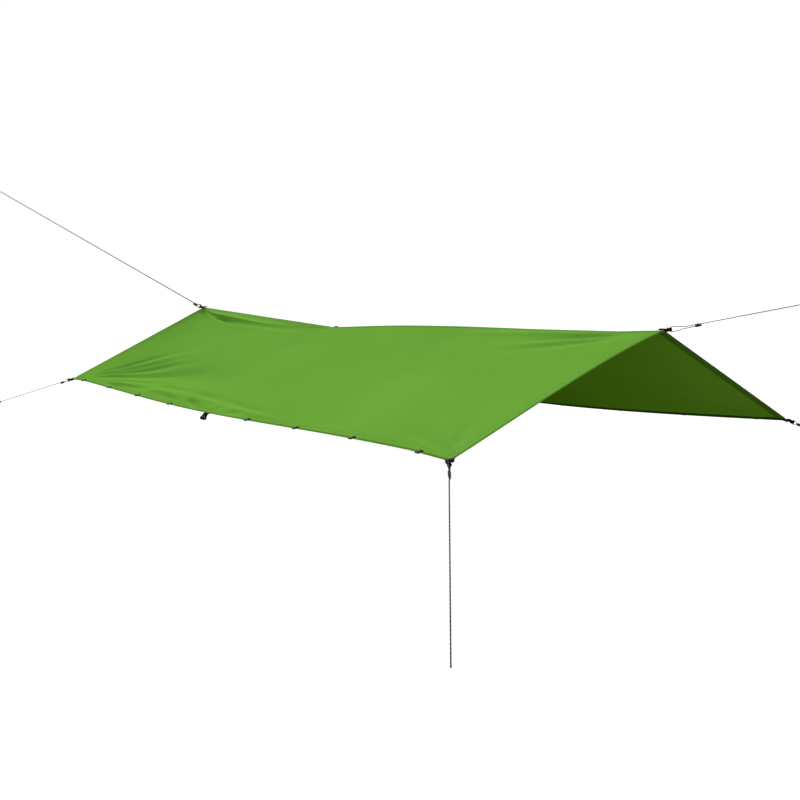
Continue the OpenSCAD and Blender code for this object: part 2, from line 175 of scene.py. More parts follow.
# ---------------------------------------------------------------- the pitched cloth
LENGTH = 2.400  # of the cloth along the ridge
HALF_WIDTH = 0.750  # from the ridge to an eave, laid flat
NEAR_RIDGE = np.array((-18, 0, -4)) * MM
FAR_RIDGE = NEAR_RIDGE + np.array((-2400, 0, 8)) * MM
FRONT_NEAR = NEAR_RIDGE + np.array((-38, -744, -261)) * MM
FRONT_FAR = FAR_RIDGE + np.array((0, -616, -280)) * MM
BACK_NEAR = NEAR_RIDGE + np.array((0, 688, -304)) * MM
BACK_FAR = FAR_RIDGE + np.array((0, 741, -114)) * MM
UP = np.array((0.0, 0.0, 1.0))
HALF_CLOTH = 0.4 * MM
HEM = 25 * MM
HEM_S = HEM / HALF_WIDTH
SEAM = 10 * MM
MID_T = 0.505  # where the mid tie-outs are
# How far the lines of the cloth hang or wave. A peak is what the curve before it reaches.
RIDGE_SLACK, RIDGE_SLACK_PEAK = 53 * MM, 0.227
RIDGE_WAVE, RIDGE_WAVE_START, RIDGE_WAVE_TURN = 7 * MM, 0.38, 500  # degrees per length
FRONT_WAVE, FRONT_SAG = 10 * MM, 4.5 * MM
FRONT_BOW, FRONT_BOW_PEAK, FRONT_BOW_FADE = 24 * MM, 0.252, 10
BACK_SAG, BACK_SAG_PEAK, BACK_SAG_GROWTH = 156 * MM, 0.411, 0.35
PANEL_SAG = 10 * MM
WAVE_TAPER = 0.06


def inside(t):
    return np.clip(t, 0, 1)


def taper(t):
    return np.minimum(1, np.minimum(inside(t), 1 - inside(t)) / WAVE_TAPER)


def ridge_at(t):
    slack = RIDGE_SLACK * inside(t) ** 0.7 * (1 - inside(t)) ** 1.8 / RIDGE_SLACK_PEAK
    turn = np.radians(RIDGE_WAVE_TURN * np.maximum(inside(t) - RIDGE_WAVE_START, 0))
    rise = RIDGE_WAVE * np.sin(turn) * taper(t) - slack
    return mix(FAR_RIDGE, NEAR_RIDGE, column(t)) + UP * column(rise)


def front_eave_at(t):
    wave = FRONT_WAVE * np.cos(2 * math.pi * inside(t) + math.pi / 10)
    rise = (wave - FRONT_SAG) * taper(t)
    return mix(FRONT_FAR, FRONT_NEAR, column(t)) + UP * column(rise)


def back_eave_at(t):
    grown = 1 - np.exp(-inside(t) / BACK_SAG_GROWTH)
    sag = BACK_SAG * grown * (1 - inside(t)) / BACK_SAG_PEAK
    return mix(BACK_FAR, BACK_NEAR, column(t)) - UP * column(sag)


def plain_cloth(t, s):
    """The sheet before its creases, for arrays t and s of one shape."""
    out = np.minimum(np.abs(s), 1)
    eave = np.where(column(s) < 0, front_eave_at(t), back_eave_at(t))
    sag = PANEL_SAG * np.sin(math.pi * inside(t)) * np.sin(math.pi * out)
    bow = FRONT_BOW * out**0.7 * (1 - out) ** 1.5 / FRONT_BOW_PEAK * inside(t) ** FRONT_BOW_FADE
    drop = np.stack([np.where(s < 0, bow, 0), np.zeros_like(sag), sag], -1)
    return mix(ridge_at(t), eave, column(np.abs(s))) - drop


STEP_T, STEP_S = 0.002, 0.004


def normal_of(surface, t, s):
    """The outward normal of a surface of (t, s), by differences taken inside the sheet."""
    side = np.where(s < 0, -1.0, 1.0)
    low = np.clip(np.abs(s) - STEP_S, 0, 1) * side
    high = np.clip(np.abs(s) + STEP_S, 0, 1) * side
    along = surface(inside(t + STEP_T), s) - surface(inside(t - STEP_T), s)
    across = (surface(t, high) - surface(t, low)) * column(side)
    return unit(np.cross(along, across))


# Creases, in metres on the flat cloth. Each is its start and its end, as (distance from the
# far end, distance from the ridge, negative on the front panel), then its width at the
# start, its width at the end and its height, in millimetres.
CREASES = [
    # out of the front far corner
    (0.06, -0.735, 0.42, -0.27, 9, 24, -2.8), (0.06, -0.735, 0.52, -0.29, 8, 20, 2.4),
    (0.07, -0.738, 0.66, -0.34, 8, 18, -3.0), (0.08, -0.738, 0.70, -0.41, 8, 17, 2.6),
    (0.09, -0.742, 0.80, -0.44, 8, 16, -2.6), (0.12, -0.742, 0.86, -0.52, 8, 16, 2.0),
    (0.22, -0.725, 0.72, -0.655, 8, 14, 2.8), (0.30, -0.735, 0.70, -0.672, 7, 12, -2.4),
    (0.02, -0.60, 1.35, -0.48, 80, 110, -8.0),
    # along the front eave
    (0.62, -0.64, 0.98, -0.632, 18, 16, -2.4), (0.90, -0.632, 1.22, -0.662, 16, 16, -2.8),
    (1.14, -0.652, 1.62, -0.705, 16, 14, -2.4), (0.62, -0.69, 0.98, -0.672, 14, 20, 3.4),
    (0.92, -0.668, 1.26, -0.70, 20, 18, 3.4), (1.20, -0.694, 1.70, -0.722, 16, 12, 2.4),
    (0.80, -0.70, 0.98, -0.724, 8, 8, -2.0), (0.96, -0.696, 1.09, -0.722, 8, 8, -2.2),
    (1.06, -0.70, 1.25, -0.734, 9, 8, 1.8),
    # out of the near ridge end
    (2.36, -0.012, 1.94, -0.10, 8, 22, -3.0), (2.36, -0.016, 1.62, -0.05, 8, 22, 2.8),
    (2.35, -0.03, 1.90, -0.19, 9, 26, -2.2), (2.35, -0.024, 1.86, -0.15, 8, 22, 1.8),
    # out of the far ridge end
    (0.03, -0.008, 0.40, -0.058, 7, 16, -4.6), (0.06, -0.004, 0.52, -0.012, 8, 20, 4.0),
    (0.16, -0.02, 0.98, -0.046, 12, 16, -2.6), (0.03, -0.02, 0.16, -0.11, 8, 26, -2.4),
    # out of the front near corner
    (2.37, -0.725, 2.17, -0.56, 8, 30, 2.2), (2.36, -0.732, 2.10, -0.64, 8, 24, -1.8),
    (2.375, -0.715, 2.25, -0.52, 8, 26, -1.6),
    # round the front mid tie-out
    (1.14, -0.742, 0.96, -0.69, 8, 18, -1.8), (1.27, -0.742, 1.46, -0.69, 8, 18, -1.6),
    (1.212, -0.735, 1.212, -0.66, 10, 26, 1.6),
    # on the back panel
    (2.37, 0.725, 2.05, 0.50, 8, 40, 2.8), (2.36, 0.732, 1.90, 0.60, 8, 34, -2.6),
    (2.375, 0.715, 2.28, 0.40, 8, 34, -2.4), (2.36, 0.03, 2.00, 0.15, 8, 34, -2.4),
    (2.36, 0.02, 1.80, 0.07, 8, 30, 2.2), (0.05, 0.73, 0.50, 0.52, 8, 36, -3.4),
    (0.05, 0.725, 0.38, 0.38, 8, 36, 3.2), (0.06, 0.735, 0.70, 0.65, 8, 30, 2.8),
    (0.04, 0.02, 0.40, 0.12, 8, 34, -3.0), (0.04, 0.03, 0.26, 0.24, 8, 34, 2.6),
    (1.13, 0.735, 0.80, 0.64, 8, 34, -2.2), (1.30, 0.735, 1.62, 0.64, 8, 34, -2.2),
    (1.212, 0.735, 1.212, 0.60, 10, 34, 2.0),
]
CREASE_DEPTH = 1.8  # multiplies every height
FADE_IN, FADE_OUT = 0.3, 0.55  # shares of a crease's length
PUCKER_HEIGHT = 0.32 * MM
PUCKERS_ALONG, PUCKERS_ACROSS = 31 * MM, 29 * MM  # from one to the next
PUCKER_REACH, SEAM_PUCKER_REACH = 8 * MM, 6 * MM


def crease_height(a, b, crease):
    """One crease: it grows out of its start, is widest at its end, and fades there."""
    a0, b0, a1, b1, width0, width1, height = crease
    run_a, run_b = a1 - a0, b1 - b0
    long = np.linalg.norm((run_a, run_b))
    along = ((a - a0) * run_a + (b - b0) * run_b) / long**2
    aside = ((b - b0) * run_a - (a - a0) * run_b) / long
    width = mix(width0, width1, np.clip(along, 0, 1)) * MM
    fade = smooth(along / FADE_IN) * smooth((1 - along) / FADE_OUT)
    return CREASE_DEPTH * height * MM * fade * np.exp(-np.square(aside / width))


def soft_waves(a, b):
    """Faint broad unevenness of slack cloth, dying out at the edges."""
    to_eave, to_end = HALF_WIDTH - np.abs(b), np.minimum(a, LENGTH - a)
    waves = (
        np.sin(5.1 * a + 3.3 * b + 0.4)
        + 0.7 * np.sin(8.7 * a - 6.1 * b + 1.9)
        + 0.5 * np.sin(13.0 * a + 9.7 * b + 4.2)
    )
    return 0.5 * MM * waves * (smooth(to_eave / 0.2) * smooth(to_end / 0.2))


def puckers(a, b):
    """Small gathers that the stitching draws in along the hems and the ridge seam."""
    to_eave = HALF_WIDTH - np.abs(b)
    to_end = np.minimum(a, LENGTH - a)
    wave_a = np.sin(2 * math.pi * a / PUCKERS_ALONG + 2.3 * np.sin(7 * a))
    wave_b = np.sin(2 * math.pi * b / PUCKERS_ACROSS + 2.1 * np.sin(9 * b))
    near_eave = np.exp(-np.square((to_eave - HEM) / PUCKER_REACH))
    near_end = np.exp(-np.square((to_end - HEM) / PUCKER_REACH))
    near_seam = np.exp(-np.square((np.abs(b) - SEAM) / SEAM_PUCKER_REACH))
    return PUCKER_HEIGHT * (wave_a * (near_eave + 0.8 * near_seam) + wave_b * near_end)


def cloth(t, s):
    """The creased middle surface of the sheet."""
    t, s = np.broadcast_arrays(np.asarray(t, float), np.asarray(s, float))
    a, b = t * LENGTH, s * HALF_WIDTH
    height = soft_waves(a, b) + puckers(a, b)
    for crease in CREASES:
        height = height + crease_height(a, b, crease)
    return plain_cloth(t, s) + normal_of(plain_cloth, t, s) * column(height)


def cloth_and_normal(t, s):
    return cloth(t, s), normal_of(cloth, t, s)


# ---------------------------------------------------------------- node materials
class Nodes:
    """A short way to write a Principled material's node graph."""

    def __init__(self, name):
        self.material = bpy.data.materials.new(name)
        self.material.use_nodes = True
        self.tree = self.material.node_tree
        self.shader = self.tree.nodes["Principled BSDF"]

    def feed(self, made, sockets):
        """Feeds a node's sockets, named or numbered: each is linked to another, or set."""
        for key, value in sockets.items():
            if isinstance(value, bpy.types.NodeSocket):
                self.tree.links.new(value, made.inputs[key])
            elif value is not None:
                made.inputs[key].default_value = value

    def node(self, kind, sockets, **settings):
        made = self.tree.nodes.new("ShaderNode" + kind)
        for key, value in settings.items():
            setattr(made, key, value)
        self.feed(made, sockets)
        return made.outputs

    def math(self, operation, a, b=None):
        return self.node("Math", {0: a, 1: b}, operation=operation)[0]

    def blend(self, share, a, b):
        """A colour from a to b."""
        return self.node("Mix", {0: share, 6: a, 7: b}, data_type="RGBA")[2]

    def uv(self, name):
        """The u and v of a named UV map."""
        pair = self.node("UVMap", {}, uv_map=name)[0]
        return self.node("SeparateXYZ", {0: pair})[:2]

    def noise(self, scale, detail=2.0):
        place = self.node("TexCoord", {})["Object"]
        return self.node("TexNoise", {"Vector": place, "Scale": scale, "Detail": detail})["Fac"]

    def range(self, value, low, high, to_low, to_high):
        ends = {"From Min": low, "From Max": high, "To Min": to_low, "To Max": to_high}
        return self.node("MapRange", {"Value": value, **ends})[0]

    def bump(self, height, distance, strength=1.0, below=None):
        size = {"Distance": distance, "Strength": strength}
        return self.node("Bump", {"Height": height, "Normal": below, **size})[0]

    def surface(self, colour, roughness, relief, specular):
        """Feeds the shader, and gives the finished material."""
        self.feed(self.shader, {"Base Color": colour, "Roughness": roughness})
        self.feed(self.shader, {"Normal": relief, "Specular IOR Level": specular})
        return self.material

    def wave(self, value, period):
        """0 to 1, a sine of value with that period."""
        turned = self.math("MULTIPLY", value, 2 * math.pi / period)
        return self.range(self.math("SINE", turned), -1, 1, 0, 1)

    def line(self, value, period, width):
        """1 on thin lines a period apart, 0 between them."""
        part = self.math("FRACT", self.math("DIVIDE", value, period))
        return self.math("LESS_THAN", part, width / period)


def rgb(red, green, blue):
    """A colour given as it looks on a screen, 0 to 255, as linear values."""
    linear = [
        c / 12.92 if c <= 0.04045 else ((c + 0.055) / 1.055) ** 2.4
        for c in (x / 255 for x in (red, green, blue))
    ]
    return (*linear, 1.0)


CLOTH_UV, TAPE_UV, CORD_UV, THREAD_UV = "cloth", "tape", "braid", "thread"
RIPSTOP_PITCH = 5 * MM
RIPSTOP_WIDTH = 0.5 * MM
YARN_PITCH = 0.45 * MM
CLOTH_ROUGHNESS = 0.8
PAINTED_SHADE_FROM, PAINTED_SHADE_TO = 2.3, 1.45  # metres from the far end: where the inner face's painted shade starts, and where it is full
BRAID_STRANDS = 4  # each way round the cord
BRAID_LAY = 3.4  # diameters along the cord for one turn of a strand


def cloth_material(name, light, dark, deep_shade=None):
    """Coated ripstop: a fine plain weave with thicker yarns in a grid, a little uneven in
    colour, and quite matt. deep_shade is painted shade: the colour it takes inside, far from the
    near end."""
    n = Nodes(name)
    u, v = n.uv(CLOTH_UV)
    lines = [n.line(value, RIPSTOP_PITCH, RIPSTOP_WIDTH) for value in (u, v)]
    grid = n.math("MAXIMUM", *lines)
    weave = n.math("MULTIPLY", n.wave(u, YARN_PITCH), n.wave(v, YARN_PITCH))
    mottled_and_deep_shade = n.blend(n.range(n.noise(3.0, 3.0), 0.3, 0.7, 0, 1), light, dark)
    if deep_shade is not None:
        # Painted shade: the inner face grows darker away from the open near end
        mottled_and_deep_shade = n.blend(n.range(u, PAINTED_SHADE_TO, PAINTED_SHADE_FROM, 1, 0), mottled_and_deep_shade, deep_shade)
    lined = n.blend(n.math("MULTIPLY", grid, 0.3), mottled_and_deep_shade, dark)
    fine = n.noise(160.0)
    toned = n.blend(n.range(fine, 0.35, 0.65, 0.0, 0.14), lined, dark)
    rough = n.range(fine, 0.3, 0.7, CLOTH_ROUGHNESS - 0.05, CLOTH_ROUGHNESS + 0.05)
    relief = n.bump(grid, 0.08 * MM, 0.6, n.bump(weave, 0.05 * MM, 0.5))
    relief = n.bump(n.noise(38.0, 4.0), 0.8 * MM, 0.25, relief)
    return n.surface(toned, rough, relief, 0.0)


def webbing_material(name, period):
    """Ribbed black webbing: u runs along the tape and v across it, both in metres."""
    n = Nodes(name)
    u, v = n.uv(TAPE_UV)
    ribs = n.wave(v, period)
    picks = n.wave(u, period * 0.8)
    worn = n.range(n.noise(220.0, 3.0), 0.35, 0.75, 0.0, 0.6)
    colour = n.blend(worn, rgb(4, 4, 5), rgb(12, 12, 13))
    relief = n.bump(n.math("MULTIPLY", ribs, picks), 0.3 * MM, 0.9)
    return n.surface(colour, n.range(ribs, 0, 1, 0.85, 0.6), relief, 0.04)


def cord_material(name, flecks):
    """Braided cord: u goes round it once, and v is the distance along it in diameters."""
    n = Nodes(name)
    u, v = n.uv(CORD_UV)
    turn = n.math("DIVIDE", v, BRAID_LAY)
    right = n.math("MULTIPLY", n.math("ADD", u, turn), BRAID_STRANDS)
    left = n.math("MULTIPLY", n.math("SUBTRACT", u, turn), BRAID_STRANDS)
    weave = n.math("MULTIPLY", n.wave(right, 1.0), n.wave(left, 1.0))
    tracer = n.math("FRACT", n.math("ADD", u, turn))
    over = n.math("LESS_THAN", n.math("FRACT", left), 0.55)
    fleck = n.math("MULTIPLY", n.math("LESS_THAN", tracer, 0.2), over)
    # Painted shade: lighter on the strands' crowns and darker in the grooves between them
    black = n.blend(weave, rgb(4, 4, 5), rgb(18, 18, 19))
    colour = n.blend(n.math("MULTIPLY", fleck, flecks), black, rgb(176, 176, 172))
    return n.surface(colour, 0.62, n.bump(weave, 0.15 * MM, 0.8), 0.12)


def plastic_material(name):
    """Moulded black plastic, with a fine spark-eroded grain and scuffs."""
    n = Nodes(name)
    scuffs = n.noise(300.0, 4.0)
    colour = n.blend(n.range(scuffs, 0.5, 0.75, 0, 0.5), rgb(9, 9, 10), rgb(26, 26, 27))
    rough = n.range(scuffs, 0.35, 0.7, 0.36, 0.6)
    return n.surface(colour, rough, n.bump(n.noise(2600.0), 0.05 * MM, 0.6), 0.25)


def thread_material(name, light, dark):
    """Twisted sewing thread."""
    n = Nodes(name)
    twist = n.noise(1800.0)
    rough = n.range(twist, 0.3, 0.7, 0.5, 0.75)
    return n.surface(n.blend(twist, light, dark), rough, n.bump(twist, 0.1 * MM, 0.7), 0.05)


OUTER = cloth_material("cloth_outer", rgb(79, 123, 42), rgb(74, 117, 38))
# Painted shade: the inner face is coloured much darker than the outer one, for the shade under
# the canopy
INNER = cloth_material("cloth_inner", rgb(60, 92, 19), rgb(53, 84, 13), rgb(38, 67, 2))
HEM_OUTER = cloth_material("hem_outer", rgb(80, 124, 43), rgb(72, 115, 37))
# Painted shade: the hems' inner colours are darker than the inner face, where the doubled cloth
# lets less light through
HEM_INNER = cloth_material("hem_inner", rgb(42, 70, 13), rgb(34, 60, 9))
# Painted shade: a darker copy of the inner hem colour, for the back eave's hem
EAVE_INNER = cloth_material("eave_hem_inner", rgb(20, 40, 7), rgb(14, 30, 4))
WEBBING = webbing_material("webbing", 1.6 * MM)
TAPE = webbing_material("loop_tape", 1.0 * MM)
HEAVY_CORD = cord_material("heavy_cord", 0.7)
BLACK_CORD = cord_material("black_cord", 0.12)
LIGHT_CORD = cord_material("light_cord", 0.3)
PLASTIC = plastic_material("tensioner_plastic")
GREEN_THREAD = thread_material("green_thread", rgb(63, 101, 26), rgb(54, 88, 20))
BLACK_THREAD = thread_material("black_thread", rgb(18, 18, 19), rgb(7, 7, 8))


# ---------------------------------------------------------------- where the tie-outs are
STRAP_REACH = 18 * MM
STRAP_LAP = 12 * MM
CORNER_LIFT = 0.0
MID_LIFT = -4.1 * MM
RIDGE_LIFT = 4 * MM
MID_BEND = 2 * MM
EYE_RADIUS = 3.4 * MM
WEBBING_THICKNESS = 1.8 * MM


class Place:
    """A tie-out: the corner of the cloth, the cloth's normal there and its guyline's
    direction. One that hangs carries no guyline, so it bends just past the hem."""

    def __init__(self, corner, normal, direction, lift, hangs=False):
        self.normal, self.along = unit(normal), unit(direction)
        self.across = unit(np.cross(self.normal, self.along))
        self.outward = unit(np.cross(self.across, self.normal))
        self.line_up = np.cross(self.along, self.across)
        reach = MID_BEND if hangs else STRAP_REACH
        self.root = np.array(corner) + self.outward * reach + self.normal * lift
        self.eye = self.root + self.along * (STRAP_REACH - reach)

    def on_line(self, route):
        """Points given as (millimetres along the guyline, millimetres up from it)."""
        route = np.asarray(route, float) * MM
        return self.eye + route[:, :1] * self.along + route[:, 1:2] * self.line_up

    def on_strap(self, points):
        """Points given as (outward, across, up) in metres."""
        return self.root + np.asarray(points, float) @ self.axes()

    def axes(self):
        return np.stack([self.outward, self.across, self.normal])


PLACES = {
    "near_ridge": Place(NEAR_RIDGE, (0, 0, 1), (83, 0, 17), RIDGE_LIFT),
    "far_ridge": Place(FAR_RIDGE, (0, 0, 1), (-122, -45, 57), RIDGE_LIFT),
    "front_near": Place(FRONT_NEAR, (0, -33, 94), (34, -32, -28), CORNER_LIFT),
    "front_far": Place(FRONT_FAR, (-5, -41, 91), (-35, -16, -11), CORNER_LIFT),
    "back_near": Place(BACK_NEAR, (-4, 40, 91), (45, 84, -31), CORNER_LIFT),
    "back_far": Place(BACK_FAR, (46, 14, 88), (-50, 84, -20), CORNER_LIFT),
    "front_mid": Place(front_eave_at(MID_T), (0, -31, 95), (0, -57, -82), MID_LIFT, True),
    "back_mid": Place(back_eave_at(MID_T), (0, 37, 93), (0, 57, -82), MID_LIFT, True),
}

# ---------------------------------------------------------------- guylines
# Routes in millimetres, as (along the line, up from it), from the eye outwards.
CORNER_TURN = [
    (0, 0), (0, 3), (0.5, 5.2), (2, 7.2), (5, 8.2), (9, 7.2),
    (13, 4.2), (16.5, 1.5), (19.5, 0.3), (22, 0),
]
EYE_TURN = [(0, 0), (0, 2.6), (0.4, 4.5), (1.6, 6), (4, 6.6)]
EYE_TURN_BACK = [(0, 0), (0, -2.6), (0.4, -4.5), (1.6, -6.1), (4, -6.9)]
SHORT_TURN = EYE_TURN + [(7, 5.9), (10, 3.8), (13, 1.4), (15, 0.4), (17, 0)]
SHORT_TURN_BACK = EYE_TURN_BACK + [(7, -6.7), (10, -5.4), (13, -4.4), (17, -4)]
LONG_TURN = EYE_TURN + [(9, 6.2), (20, 4.4), (34, 2.2), (48, 0.6), (60, 0)]
LONG_TURN_BACK = EYE_TURN_BACK + [(9, -6.9), (20, -6.1), (34, -5), (48, -4.2), (60, -4)]
TENSIONER_LENGTH = 14
TENSIONER_WALL = 1.3
BORE_CLEARANCE = 0.35
CORD_SIDES = 16
BRAID_RELIEF = 0.06  # of the cord's radius
WRAP_SIDES = 12
WRAP_PITCH = 1.05  # diameters
WRAP_STEPS = 18  # in one turn
TUCKED_REACH = 0.45


def corner_turn_back(gap):
    return [
        (0, 0), (0, -3), (0.5, -5.2), (2, -7.2), (5, -8.4), (9, -8.2),
        (13, -gap - 2), (17, -gap - 0.6), (22, -gap),
    ]


class Guyline:
    """One guyline. Sizes are in millimetres, as in its route."""

    def __init__(self, name, turns, turns_back, stations, start, diameter, end, material):
        self.name, self.place, self.start = name, PLACES[name], start
        self.diameter, self.end, self.material = diameter, end, material
        self.bore = diameter / 2 + BORE_CLEARANCE
        self.gap = 2 * self.bore + TENSIONER_WALL
        self.tail = start + TENSIONER_LENGTH + 1
        self.route = turns + [(x, 0) for x in stations]
        turns_back = turns_back or corner_turn_back(self.gap)
        self.back_route = turns_back + [(start + 6, -self.gap), (self.tail, -self.gap)]


GUYLINES = [
    Guyline("near_ridge", LONG_TURN, LONG_TURN_BACK, (100, 150, 200, 250, 300, 365),
            76, 2.0, "loop", LIGHT_CORD),
    Guyline("far_ridge", CORNER_TURN, None, (60, 120, 240, 400, 600, 800, 1000, 1200, 1410),
            22, 3.6, "loop", BLACK_CORD),
    Guyline("front_near", CORNER_TURN, None, (50, 100, 160, 220, 280, 340, 400, 460, 529),
            22, 3.0, "tip", HEAVY_CORD),
    Guyline("front_far", SHORT_TURN, SHORT_TURN_BACK, (50, 80, 120, 160, 200, 250, 300, 400),
            32, 2.0, "loop", LIGHT_CORD),
    Guyline("back_near", SHORT_TURN, SHORT_TURN_BACK, (30, 40, 50, 60, 70, 80, 90),
            17, 2.0, "loop", LIGHT_CORD),
]


def through(points, spacing):
    """A smooth line through points, at about that spacing, by centripetal Catmull-Rom."""
    p = np.asarray(points, float)
    p = np.vstack([2 * p[0] - p[1], p, 2 * p[-1] - p[-2]])
    made = [p[1][None]]
    for k in range(1, len(p) - 2):
        steps = max(1, math.ceil(np.linalg.norm(p[k + 1] - p[k]) / spacing))
        knots = [0.0]
        for i in range(3):
            knots.append(knots[-1] + math.sqrt(np.linalg.norm(p[k + i] - p[k + i - 1])))
        t = np.linspace(knots[1], knots[2], steps + 1)[1:, None]
        a = [
            mix(p[k + i - 1], p[k + i], (t - knots[i]) / (knots[i + 1] - knots[i]))
            for i in range(3)
        ]
        b = [mix(a[i], a[i + 1], (t - knots[i]) / (knots[i + 2] - knots[i])) for i in range(2)]
        made.append(mix(b[0], b[1], (t - knots[1]) / (knots[2] - knots[1])))
    return np.concatenate(made)


def add_cord(parts, line, diameter, hint):
    """A braided cord along a line, whose strands stand out a little."""
    v = distances(line) / diameter
    turns, lay = np.arange(CORD_SIDES) / CORD_SIDES, column(v) / BRAID_LAY
    strand = 2 * math.pi * BRAID_STRANDS
    weave = np.sin(strand * (turns + lay)) * np.sin(strand * (turns - lay))
    rings = tube_rings(line, diameter / 2 * (1 + BRAID_RELIEF * weave), hint, CORD_SIDES)
    swept(parts, rings, (np.linspace(0, 1, CORD_SIDES + 1), v))


def wind(parts, place, start, length, radius, thick):
    """A cord wound closely round a guyline, from start: a barrel knot."""
    turns = max(2, length / (WRAP_PITCH * thick))
    share = np.linspace(0, 1, int(turns * WRAP_STEPS) + 1)[:, None]
    angle = 2 * math.pi * turns * share
    side = np.cross(place.across, place.along)
    # The first and last half turn dive under the wraps
    tuck = smooth(np.minimum(share, 1 - share) * turns * 2)
    reach = (radius - thick / 2) * mix(TUCKED_REACH, 1, tuck)
    line = place.on_line([start]) + place.along * (length * share)
    line = line + (side * np.cos(angle) + place.across * np.sin(angle)) * reach
    rings = tube_rings(line, thick / 2, place.along, WRAP_SIDES)
    swept(parts, rings, (np.linspace(0, 1, WRAP_SIDES + 1), distances(line) / thick))


def make_guyline(g):
    place, thick = g.place, g.diameter * MM
    body, slider = g.name + "_guyline", g.name + "_adjuster"
    cords = []
    for name, route in (("_cord", g.route), ("_returning_strand", g.back_route)):
        parts, line = Parts(), through(place.on_line(route), thick / 4)
        add_cord(parts, line, thick, place.across)
        cords.append((parts.build(g.name + name, [g.material], CORD_UV), line))
    main, strand = cords[0][0], cords[1][0]
    belongs(main, body, "cord", g.name + "_line")
    first, last = place.on_line([(4, 0), (g.start - 1, 0)])
    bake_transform(strand)
    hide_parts(g.name + "_return")

    # The returning strand ends in a small wrapped knot
    parts, start = Parts(), (g.tail - 0.6 + g.diameter / 4, -g.gap)
    wind(parts, place, start, 1.5 * thick, (0.7 * g.diameter + 0.6) * MM, thick / 2)
    stopper = parts.build(g.name + "_stopper", [g.material], CORD_UV)
    belongs(stopper, slider, "cord")
    end = belongs(make_end(g), body, "cord", g.name + "_end")


END_LOOP_RADIUS = 9  # millimetres
END_LOOP_GAP = 14  # degrees each side of the knot
# The sealed tip: millimetres along, and radius in diameters. The braid is melted together
# and swells a little before it closes.
TIP = [(-2, 0.5), (-1.2, 0.56), (0, 0.6), (1.6, 0.61), (2.8, 0.55), (3.5, 0.4), (3.9, 0.15)]


def make_end(g):
    """What a guyline ends in: a loop held by a wrapped knot, or a sealed tip."""
    place, d, parts = g.place, g.diameter, Parts()
    start = g.route[-1][0]
    if g.end == "tip":
        along, radius = np.array(TIP).T
        line = place.on_line(np.stack([start + along, 0 * along], -1))
        # Rings that stand straight across the line
        angle = 2 * math.pi * np.arange(CORD_SIDES) / CORD_SIDES
        ring = column(np.cos(angle)) * place.line_up + column(np.sin(angle)) * place.across
        rings = line[:, None] + ring * (radius * d * MM)[:, None, None]
        swept(parts, rings, (np.linspace(0, 1, CORD_SIDES + 1), along / d))
        return parts.build(g.name + "_sealed_tip", [PLASTIC], CORD_UV)
    knot = 4 * d
    wind(parts, place, (start, 0), knot * MM, 1.7 * d * MM, d * MM)
    # The bight: out of the knot, round and back into it, a little drop-shaped
    angle = np.radians(np.linspace(END_LOOP_GAP - 180, 180 - END_LOOP_GAP, 65))
    along = start + knot + END_LOOP_RADIUS - d / 2 + END_LOOP_RADIUS * np.cos(angle)
    bight = np.stack([along, 0.86 * END_LOOP_RADIUS * np.sin(angle)], axis=1)
    neck = [(start + knot - 2 * d, -0.3 * d), (start + knot, -0.55 * d)]
    neck_back = [(x, -y) for x, y in reversed(neck)]
    line = through(place.on_line(np.vstack([neck, bight, neck_back])), 0.4 * MM)
    add_cord(parts, line, d * MM, place.across)
    return parts.build(g.name + "_end_loop", [g.material], CORD_UV)


for guyline in GUYLINES:
    make_guyline(guyline)

# ---------------------------------------------------------------- canopy
CELLS_ALONG = 300
CELLS_ACROSS = 80  # from the ridge to each eave
SAME_DIAGONAL = [0, 3, 2, 1]  # turns a face over, so both layers bend along one diagonal


def add_sheet(parts, t, s, high, low, slots):
    """A closed sheet over the places t and s on the cloth, two grids, from one height over
    the middle surface to another. slots are its upper face's, lower face's and rim's."""
    middle, normal = cloth_and_normal(t, s)
    top, bottom = middle + normal * column(high), middle + normal * column(low)
    n, m = t.shape
    index = np.arange(n * m).reshape(n, m)
    upper = [index[:-1, :-1], index[1:, :-1], index[1:, 1:], index[:-1, 1:]]
    upper = np.stack(upper, -1).reshape(-1, 4)
    layers = [upper, upper[:, SAME_DIAGONAL] + n * m]
    for edge, turned in (
        (index[0], False), (index[-1], True), (index[:, 0], True), (index[:, -1], False)
    ):
        quad = np.stack([edge[:-1], edge[1:], edge[1:] + n * m, edge[:-1] + n * m], -1)
        layers.append(quad[:, ::-1] if turned else quad)
    faces = np.concatenate(layers)
    slot_of_face = np.repeat(slots, [len(upper), len(upper), len(faces) - 2 * len(upper)])
    facing = np.cross(top[1, 0] - top[0, 0], top[0, 1] - top[0, 0])
    if np.dot(facing, normal[0, 0]) < 0:
        faces = faces[:, ::-1]
    pairs = np.tile(np.stack([t.ravel() * LENGTH, s.ravel() * HALF_WIDTH], -1), (2, 1))
    points = np.concatenate([top.reshape(-1, 3), bottom.reshape(-1, 3)])
    parts.add(points, faces, list(pairs[faces.ravel()]), slot_of_face)


def make_canopy():
    t = np.linspace(0, 1, CELLS_ALONG + 1)
    t, s = np.meshgrid(t, np.linspace(-1, 1, 2 * CELLS_ACROSS + 1), indexing="ij")
    parts = Parts()
    add_sheet(parts, t, s, HALF_CLOTH, -HALF_CLOTH, (0, 1, 0))
    made = parts.build("canopy_sheet", [OUTER, INNER], CLOTH_UV)
    return belongs(made, "canopy", "cloth", "front_panel", "back_panel")


canopy = make_canopy()


def closed_tube(parts, line, radius, hint, sides=8, scale=1.0, slot=0):
    """A plain tube along a line, with UVs in metres divided by scale."""
    around = np.arange(sides + 1) / sides * 2 * math.pi * radius
    rings = tube_rings(line, radius, hint, sides)
    swept(parts, rings, (around / scale, distances(line) / scale), slot)


def lines_between(start, end, pitch):
    return np.linspace(start, end, max(2, round(abs(end - start) / pitch) + 1))


